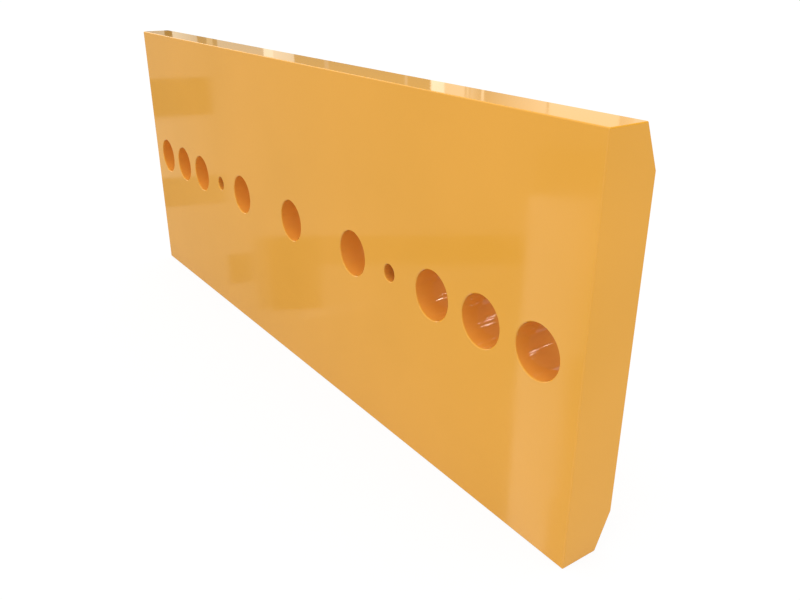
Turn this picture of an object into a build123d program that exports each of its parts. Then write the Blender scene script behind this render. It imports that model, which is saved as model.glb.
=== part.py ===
from build123d import *
import os
from math import radians, tan

os.makedirs("parts", exist_ok=True)

# The plate stands upright with its length along X, its front face towards -Y and its lower
# edge on Z = 0. The origin is under the middle of the length and of the thickness.
plate_height = 406.4
plate_thickness = 60.0
edge_round = 1.2

# A bevel along each long edge thins the plate from the back, down to the land that cuts.
# Both edges are alike, so a worn plate is turned over.
bevel_height = 40.0
bevel_angle = 22.5

# One row of holes runs along the middle of the height. Each hole sits a whole number of
# pitches from the middle of the length, and the same again on the other side of it.
hole_pitch = 76.2
bolt_stations = (-6, -5, -4, -2, 0, 2, 4, 5, 6)
dowel_stations = (-3, 3)
end_margin = 54.0

# The holes are bored straight through, wide ones for the bolts that hold the plate to its
# blade and two narrow ones for dowels, and a small chamfer breaks their mouths on both faces.
bolt_hole_diameter = 54.6
dowel_hole_diameter = 20.0
mouth_chamfer = 0.8

# Sizes that follow from those above
plate_length = 2 * (max(bolt_stations) * hole_pitch + end_margin)
land = plate_thickness - bevel_height * tan(radians(bevel_angle))
front = -plate_thickness / 2
back = plate_thickness / 2
row_height = plate_height / 2

# The front face at the middle of the hole row, looking outwards
row_plane = Plane(origin=(0, front, row_height), x_dir=(1, 0, 0), z_dir=(0, -1, 0))
bolt_places = [(station * hole_pitch, 0) for station in bolt_stations]
dowel_places = [(station * hole_pitch, 0) for station in dowel_stations]


with BuildPart() as cutting_edge:
    # The rolled section, carried along the length
    with BuildSketch(Plane.YZ.offset(-plate_length / 2)):
        with BuildLine():
            Polyline(
                (front, 0),
                (front + land, 0),
                (back, bevel_height),
                (back, plate_height - bevel_height),
                (front + land, plate_height),
                (front, plate_height),
                close=True,
            )
        make_face()
    extrude(amount=plate_length)
    fillet(cutting_edge.edges(), radius=edge_round)

    # The row of through holes
    with Locations(row_plane):
        with Locations(*bolt_places):
            Hole(radius=bolt_hole_diameter / 2)
        with Locations(*dowel_places):
            Hole(radius=dowel_hole_diameter / 2)

    # The mouths lie in the front face and in the flat of the back
    faces_across = cutting_edge.faces().sort_by(Axis.Y)
    mouths = faces_across[0].inner_wires().edges() + faces_across[-1].inner_wires().edges()
    chamfer(mouths, length=mouth_chamfer)

cutting_edge.part.label = "cutting_edge"
export_step(cutting_edge.part, "parts/cutting_edge.step")
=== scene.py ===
import math

import bpy
import numpy as np
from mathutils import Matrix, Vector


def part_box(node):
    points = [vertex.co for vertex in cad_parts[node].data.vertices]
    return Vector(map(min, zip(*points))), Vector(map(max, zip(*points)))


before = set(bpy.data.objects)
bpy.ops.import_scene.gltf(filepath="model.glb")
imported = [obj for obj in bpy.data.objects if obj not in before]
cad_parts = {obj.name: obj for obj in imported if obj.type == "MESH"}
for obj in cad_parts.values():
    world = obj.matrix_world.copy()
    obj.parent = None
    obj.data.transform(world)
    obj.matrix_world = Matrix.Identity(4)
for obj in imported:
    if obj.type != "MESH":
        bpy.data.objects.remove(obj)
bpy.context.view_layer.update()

# The plate's own sizes, in metres, read from the model
PLATE_LOW, PLATE_HIGH = (np.array(corner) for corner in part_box("cutting_edge"))
PLATE_MIDDLE = (PLATE_LOW + PLATE_HIGH) / 2
PLATE_HALF = (PLATE_HIGH - PLATE_LOW) / 2
FRONT_FACE = PLATE_LOW[1]
MM = 0.001

# The view: a camera without roll, above the near end and in front of the plate
LENS_MM = 34.93
SENSOR_MM = 36.0
CAMERA_PLACE = (0.8818, -0.4734, 0.5150)
CAMERA_TURN_DEG = 54.94
CAMERA_TILT_DEG = -23.54

# Colours as they are mixed
ENAMEL = "EAA737"
ENAMEL_THICK = "E6A433"
# Painted shade: the enamel made darker and deeper in colour, used inside the bores
ENAMEL_PAINTED_SHADE_IN_BORES = "E6993C"
WHITE = "FFFFFF"
CARD_WHITE = "FFF6E8"
CARD_CREAM = "FFF2D6"
CARD_AMBER = "FFEBC2"
CARD_CLEAR = "FFFFEC"

# Light on the plate. The sky lights it evenly, a lamp adds a little from above, and the floor
# gives back a part of that.
SKY = 1.21
HIGH_LAMP = 0.52
FLOOR_GIVES_BACK = 0.50


def linear(hex_colour, alpha=1.0):
    """An sRGB hex colour as linear red, green, blue and alpha."""
    channels = [int(hex_colour[i : i + 2], 16) / 255 for i in (0, 2, 4)]
    straight = [c / 12.92 if c <= 0.04045 else ((c + 0.055) / 1.055) ** 2.4 for c in channels]
    return (*straight, alpha)


def add(tree, kind, settings=None, **inputs):
    """A new node of this kind, with its settings, and each named or numbered input set or linked."""
    node = tree.nodes.new(kind)
    for name, value in (settings or {}).items():
        setattr(node, name, value)
    for name, value in inputs.items():
        key = int(name[1:]) if name[0] == "_" else name.replace("_", " ")
        socket = node.inputs[key]
        if isinstance(value, bpy.types.NodeSocket):
            tree.links.new(value, socket)
        else:
            socket.default_value = value
    return node


def new_material(name):
    """An empty node material and its tree."""
    material = bpy.data.materials.new(name)
    material.use_nodes = True
    material.node_tree.nodes.clear()
    return material, material.node_tree


def quad_grid(name, corners, material, steps=1):
    """A four-cornered sheet: a point is the corners' mean, weighted by its two shares across."""
    shares = np.linspace(0, 1, steps + 1)
    u, v = (grid.ravel()[:, None] for grid in np.meshgrid(shares, shares))
    a, b, c, d = np.array(corners, float)
    points = (1 - u) * (1 - v) * a + u * (1 - v) * b + u * v * c + (1 - u) * v * d
    row = np.arange(steps)
    start = (row[:, None] * (steps + 1) + row).ravel()
    faces = np.stack([start, start + 1, start + steps + 2, start + steps + 1], axis=1)
    mesh = bpy.data.meshes.new(name)
    mesh.from_pydata(points.tolist(), [], faces.tolist())
    mesh.attributes.new("across", "FLOAT", "POINT").data.foreach_set("value", u.ravel())
    mesh.materials.append(material)
    sheet = bpy.data.objects.new(name, mesh)
    bpy.context.collection.objects.link(sheet)
    return sheet


def gloss_enamel_on_steel():
    """Gloss enamel, sprayed on rolled steel: a deep, even yellow under a clear wet-looking gloss
    that waves very slightly, with painted shade that deepens the colour inside the bores."""
    material, tree = new_material("gloss_enamel_on_steel")
    place = add(tree, "ShaderNodeTexCoord").outputs["Object"]

    # The coat is a little thicker in some passes of the spray gun, each about 180 mm wide
    passes = add(tree, "ShaderNodeTexNoise", Vector=place, Scale=1 / (180 * MM), Detail=2.0)
    coat = add(
        tree,
        "ShaderNodeMapRange",
        Value=passes.outputs["Fac"],
        From_Min=0.35,
        From_Max=0.65,
    )
    body = add(
        tree,
        "ShaderNodeMix",
        {"data_type": "RGBA"},
        _0=coat.outputs["Result"],
        _6=linear(ENAMEL_THICK),
        _7=linear(ENAMEL),
    )

    # In the bores the colour is painted darker and deeper as painted shade, and the gloss is
    # smoother there
    offset = add(
        tree,
        "ShaderNodeVectorMath",
        {"operation": "SUBTRACT"},
        _0=place,
        _1=tuple(PLATE_MIDDLE),
    )
    away = add(tree, "ShaderNodeVectorMath", {"operation": "ABSOLUTE"}, _0=offset.outputs[0])
    reach = (PLATE_HALF[0] - 5 * MM, PLATE_HALF[1] - 1 * MM, 30 * MM)
    inside = add(
        tree, "ShaderNodeVectorMath", {"operation": "SUBTRACT"}, _0=reach, _1=away.outputs[0]
    )
    depth = add(tree, "ShaderNodeSeparateXYZ", Vector=inside.outputs[0]).outputs
    across = add(tree, "ShaderNodeMath", {"operation": "MINIMUM"}, _0=depth["X"], _1=depth["Z"])
    least = add(
        tree, "ShaderNodeMath", {"operation": "MINIMUM"}, _0=across.outputs[0], _1=depth["Y"]
    )
    in_bores = add(
        tree, "ShaderNodeMapRange", Value=least.outputs[0], From_Min=0.0, From_Max=1 * MM
    )
    colour = add(
        tree,
        "ShaderNodeMix",
        {"data_type": "RGBA"},
        _0=in_bores.outputs["Result"],
        _6=body.outputs["Result"],
        _7=linear(ENAMEL_PAINTED_SHADE_IN_BORES),
    )

    # Orange peel, 4 mm from crest to crest, over the long slow waves of the rolled plate
    peel = add(tree, "ShaderNodeTexNoise", Vector=place, Scale=1 / (4 * MM), Detail=1.0)
    peel_bump = add(
        tree, "ShaderNodeBump", Height=peel.outputs["Fac"], Strength=1.0, Distance=0.006 * MM
    )
    wave = add(tree, "ShaderNodeTexNoise", Vector=place, Scale=1 / (90 * MM), Detail=1.0)
    bump = add(
        tree,
        "ShaderNodeBump",
        Height=wave.outputs["Fac"],
        Strength=1.0,
        Distance=0.08 * MM,
        Normal=peel_bump.outputs["Normal"],
    )

    # The gloss is dulled a little where overspray has settled, but not in the bores
    haze = add(tree, "ShaderNodeTexNoise", Vector=place, Scale=1 / (60 * MM), Detail=3.0)
    rough = add(
        tree,
        "ShaderNodeMapRange",
        Value=haze.outputs["Fac"],
        From_Min=0.3,
        From_Max=0.7,
        To_Min=0.04,
        To_Max=0.08,
    )
    gloss = add(
        tree,
        "ShaderNodeMix",
        _0=in_bores.outputs["Result"],
        _2=rough.outputs["Result"],
        _3=0.02,
    )
    shader = add(
        tree,
        "ShaderNodeBsdfPrincipled",
        Base_Color=colour.outputs["Result"],
        Roughness=gloss.outputs["Result"],
        IOR=1.5,
        Normal=bump.outputs["Normal"],
    )
    add(tree, "ShaderNodeOutputMaterial", Surface=shader.outputs["BSDF"])
    return material


def pale_floor():
    """A floor that looks white, keeps the plate's shadow and gives back some of the sky's light."""
    material, tree = new_material("pale_floor_paint")
    seen = add(tree, "ShaderNodeLightPath").outputs["Is Camera Ray"]
    dull = (FLOOR_GIVES_BACK,) * 3 + (1,)
    paint = add(tree, "ShaderNodeBsdfDiffuse", Color=dull)
    pale = add(tree, "ShaderNodeBsdfDiffuse", Color=(0.92, 0.92, 0.92, 1))
    glow = add(tree, "ShaderNodeEmission", Color=linear(WHITE), Strength=1.0)
    white = add(tree, "ShaderNodeMixShader", Fac=0.1, _1=glow.outputs[0], _2=pale.outputs[0])
    mix = add(tree, "ShaderNodeMixShader", Fac=seen, _1=paint.outputs[0], _2=white.outputs[0])
    add(tree, "ShaderNodeOutputMaterial", Surface=mix.outputs[0])
    half = 20.0
    corners = [(-half, -half, 0), (half, -half, 0), (half, half, 0), (-half, half, 0)]
    floor = quad_grid("floor", corners, material)
    floor.visible_glossy = False


def white_sky():
    """White to the camera and in reflections, and an even light on the plate."""
    world = bpy.data.worlds.new("studio")
    bpy.context.scene.world = world
    world.use_nodes = True
    tree = world.node_tree
    tree.nodes.clear()
    path = add(tree, "ShaderNodeLightPath").outputs
    seen = add(
        tree,
        "ShaderNodeMath",
        {"operation": "MAXIMUM"},
        _0=path["Is Camera Ray"],
        _1=path["Is Glossy Ray"],
    )
    shown = add(
        tree,
        "ShaderNodeMath",
        {"operation": "MAXIMUM"},
        _0=seen.outputs[0],
        _1=path["Is Transmission Ray"],
    )
    light = add(tree, "ShaderNodeBackground", Color=linear(WHITE), Strength=SKY)
    backdrop = add(tree, "ShaderNodeBackground", Color=linear(WHITE), Strength=1.0)
    mix = add(
        tree,
        "ShaderNodeMixShader",
        Fac=shown.outputs[0],
        _1=light.outputs[0],
        _2=backdrop.outputs[0],
    )
    add(tree, "ShaderNodeOutputWorld", Surface=mix.outputs[0])


def high_lamp():
    """A broad lamp above the front, so that what faces up is the brightest and the end is not."""
    lamp = bpy.data.lights.new("high_lamp", "SUN")
    lamp.energy = HIGH_LAMP
    lamp.angle = math.radians(40)
    stand = bpy.data.objects.new("high_lamp", lamp)
    stand.rotation_euler = (math.radians(20), 0, math.radians(-15))
    bpy.context.collection.objects.link(stand)


def reflected_card(name, corners, levels, colour):
    """A card that shows only in the gloss, with its brightness at its first and second side."""
    material, tree = new_material(name)
    across = add(tree, "ShaderNodeAttribute", {"attribute_name": "across"})
    level = add(
        tree,
        "ShaderNodeMapRange",
        Value=across.outputs["Fac"],
        To_Min=levels[0],
        To_Max=levels[1],
    )
    glow = add(
        tree, "ShaderNodeEmission", Color=linear(colour), Strength=level.outputs["Result"]
    )
    add(tree, "ShaderNodeOutputMaterial", Surface=glow.outputs[0])
    card = quad_grid(name, corners, material)
    card.visible_camera = False
    card.visible_diffuse = False
    card.visible_shadow = False
    card.visible_transmission = False


def toward(place, azimuth, elevation, distance):
    """The point at this distance from a place. Azimuth 0 is +Y and 90 is +X, in degrees."""
    a, e = math.radians(azimuth), math.radians(elevation)
    way = np.array([math.sin(a) * math.cos(e), math.cos(a) * math.cos(e), math.sin(e)])
    return np.array(place) + distance * way


def window_card(name, place, azimuths, elevations, distance, levels, colour=CARD_WHITE, rise=0):
    """A card whose corners lie in these directions from a place, its second side raised a little."""
    (a0, a1), (e0, e1) = azimuths, elevations
    ways = ((a0, e0), (a1, e0 + rise), (a1, e1 + rise), (a0, e1))
    corners = [toward(place, azimuth, elevation, distance) for azimuth, elevation in ways]
    reflected_card(name, corners, levels, colour)


def photograph_camera():
    """The camera, which looks down along the plate from its near end."""
    data = bpy.data.cameras.new("camera")
    data.sensor_width = SENSOR_MM
    data.lens = LENS_MM
    data.clip_start, data.clip_end = 0.01, 200
    camera = bpy.data.objects.new("camera", data)
    camera.location = CAMERA_PLACE
    camera.rotation_euler = (math.radians(90 + CAMERA_TILT_DEG), 0, math.radians(CAMERA_TURN_DEG))
    bpy.context.collection.objects.link(camera)
    bpy.context.scene.camera = camera


# Cards that only the gloss shows. Each has its two azimuths and two elevations from a place,
# its distance, its brightness at its first and second side, and its colour.
# Behind the plate they stand upright against the white, and the top edge shows them as bars.
UPRIGHT = (-3, 25)
UPRIGHT_CARDS = (
    ("back_wall", (-80, -30), UPRIGHT, 10.0, (0.80, 1.14), CARD_CREAM),
    ("post_1", (-73.5, -71.0), UPRIGHT, 8.0, (0.28, 0.46), CARD_CLEAR),
    ("post_2", (-71.0, -70.5), UPRIGHT, 8.0, (0.10, 0.10), CARD_CREAM),
    ("post_3", (-70.5, -68.9), UPRIGHT, 8.0, (0.74, 0.49), CARD_CLEAR),
    ("post_4", (-68.9, -68.3), UPRIGHT, 8.0, (0.26, 0.26), CARD_AMBER),
    ("post_5", (-68.3, -67.9), UPRIGHT, 8.0, (0.54, 0.54), CARD_AMBER),
    ("post_6", (-67.9, -67.6), UPRIGHT, 8.0, (0.28, 0.28), CARD_AMBER),
    ("screen_1", (-67.6, -64.5), UPRIGHT, 8.0, (0.51, 0.46), CARD_CLEAR),
    ("slat", (-64.5, -63.85), UPRIGHT, 8.0, (1.04, 1.04), CARD_CLEAR),
    ("screen_2", (-63.85, -62.4), UPRIGHT, 8.0, (0.86, 0.74), CARD_CLEAR),
    ("screen_3", (-62.4, -52.75), UPRIGHT, 8.0, (0.34, 0.34), CARD_AMBER),
    ("lath_1", (-60.3, -60.0), UPRIGHT, 7.8, (0.44, 0.44), CARD_CREAM),
    ("lath_2", (-54.6, -54.4), UPRIGHT, 7.8, (0.52, 0.52), CARD_CREAM),
    ("lath_3", (-50.28, -50.16), UPRIGHT, 7.8, (0.55, 0.55), CARD_CREAM),
    ("lath_4", (-49.98, -49.86), UPRIGHT, 7.8, (0.55, 0.55), CARD_CREAM),
    ("tube", (-52.7, -51.75), UPRIGHT, 8.0, (1.30, 1.22), CARD_CLEAR),
    ("board", (-51.75, -50.4), UPRIGHT, 8.0, (0.90, 0.92), CARD_CREAM),
    ("screen_4", (-50.4, -49.1), UPRIGHT, 8.0, (0.92, 0.42), CARD_CREAM),
    ("screen_5", (-48.9, -44.4), UPRIGHT, 8.0, (0.40, 0.94), CARD_CREAM),
    ("seam", (-44.4, -44.25), UPRIGHT, 8.0, (0.57, 0.57), CARD_CREAM),
    ("screen_6", (-39.3, -38.3), UPRIGHT, 8.0, (0.68, 0.86), CARD_CREAM),
    ("wall_end", (-38.3, -30), UPRIGHT, 8.0, (0.90, 0.90), CARD_CLEAR),
)

# In front, the face of the plate shows what the camera's mirror image would see there
MIRROR_PLACE = (CAMERA_PLACE[0], 2 * FRONT_FACE - CAMERA_PLACE[1], CAMERA_PLACE[2])
FRONT_CARDS = (
    ("front_floor", (260, 210), (-62, -18.5), 11.0, (0.46, 0.88)),
    ("front_wall", (260, 210), (-18.5, 8), 11.0, (0.43, 1.04)),
    ("front_shade", (246, 224.8), (-20.6, -18.5), 9.0, (0.40, 0.44)),
    ("front_streak", (234.5, 226.5), (-22.5, -21.8), 8.8, (0.75, 0.78), CARD_WHITE, 1.1),
    ("front_ledge", (243, 233), (-24.8, -24.2), 8.8, (0.72, 0.66), CARD_WHITE, 1.4),
    ("far_chest", (253.5, 248.3), (-9.8, -7.3), 8.5, (0.24, 0.28)),
    ("far_gap", (253.5, 248.5), (-13.9, -10.0), 9.0, (0.68, 0.60)),
    ("far_bench", (253.5, 248.0), (-16.0, -14.0), 8.5, (0.25, 0.38)),
    ("chest", (245.1, 241.2), (-24, -18.7), 8.5, (0.26, 0.34)),
    ("shelves", (246.1, 245.1), (-23.8, -18.9), 8.5, (0.40, 0.40)),
    ("stool", (248.2, 246.4), (-21.8, -19.7), 8.5, (0.28, 0.34)),
    ("beam", (224.8, 220.0), (-15.3, -12.2), 9.0, (0.74, 0.74)),
    ("column", (225.2, 221.6), (-62, -15.6), 9.0, (1.62, 1.42)),
    ("column_side", (221.6, 220.1), (-27, -15.6), 9.0, (1.36, 1.10)),
    ("column_foot", (221.6, 220.9), (-37, -27), 9.0, (1.28, 1.00)),
)

# Beyond the near end, its face shows one pale card
END_MIRROR_PLACE = (2 * float(PLATE_HIGH[0]) - CAMERA_PLACE[0], *CAMERA_PLACE[1:])
END_CARD = ((35.8, 40.6), (-44, -8), 3.0, (0.80, 0.80))

# Behind the near end, two dark screens show in the wide holes
HOLE_PLACE = (0.361, 0.0, 0.186)
HOLE_CARDS = (
    ("screen_behind", (20, 66), (-50, 62), 7.0, (0.36, 0.40), CARD_AMBER),
    ("screen_above", (-60, 20), (32, 66), 7.0, (0.25, 0.40), CARD_AMBER),
)

# Small lamps in front of them sparkle low in the three nearest holes. Each is seen from its own
# place along the row, and is given with its azimuths, its elevations and its brightness.
SPARK_DISTANCE = 1.7
SPARKS = (
    ("spark_1", 0.361, (36.9, 38.5), (39.0, 40.6), 34.0),
    ("spark_2", 0.361, (45.3, 46.1), (27.8, 29.4), 26.0),
    ("spark_3", 0.361, (47.9, 48.7), (20.6, 22.4), 22.0),
    ("spark_4", 0.284, (39.8, 40.9), (41.0, 42.4), 34.0),
    ("spark_5", 0.284, (48.0, 48.8), (29.0, 30.4), 18.0),
    ("spark_6", 0.438, (45.4, 46.3), (18.4, 20.6), 10.0),
)

# To the left, a tall lamp draws a bright line along the rounded top edge
EDGE_LAMP = ((-102, -77), (12, 42), 6.0, (2.2, 2.2))

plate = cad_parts["cutting_edge"]
enamel = gloss_enamel_on_steel()
for slot in plate.material_slots:
    slot.material = enamel

white_sky()
high_lamp()
pale_floor()
for name, *where in UPRIGHT_CARDS:
    window_card(name, CAMERA_PLACE, *where)
for name, *where in FRONT_CARDS:
    window_card(name, MIRROR_PLACE, *where)
for name, *where in HOLE_CARDS:
    window_card(name, HOLE_PLACE, *where)
for name, x, azimuths, elevations, level in SPARKS:
    place = (x, *HOLE_PLACE[1:])
    window_card(name, place, azimuths, elevations, SPARK_DISTANCE, (level, level))
window_card("end_card", END_MIRROR_PLACE, *END_CARD)
window_card("edge_lamp", tuple(PLATE_MIDDLE), *EDGE_LAMP)

photograph_camera()
bpy.context.scene.view_settings.view_transform = "Standard"
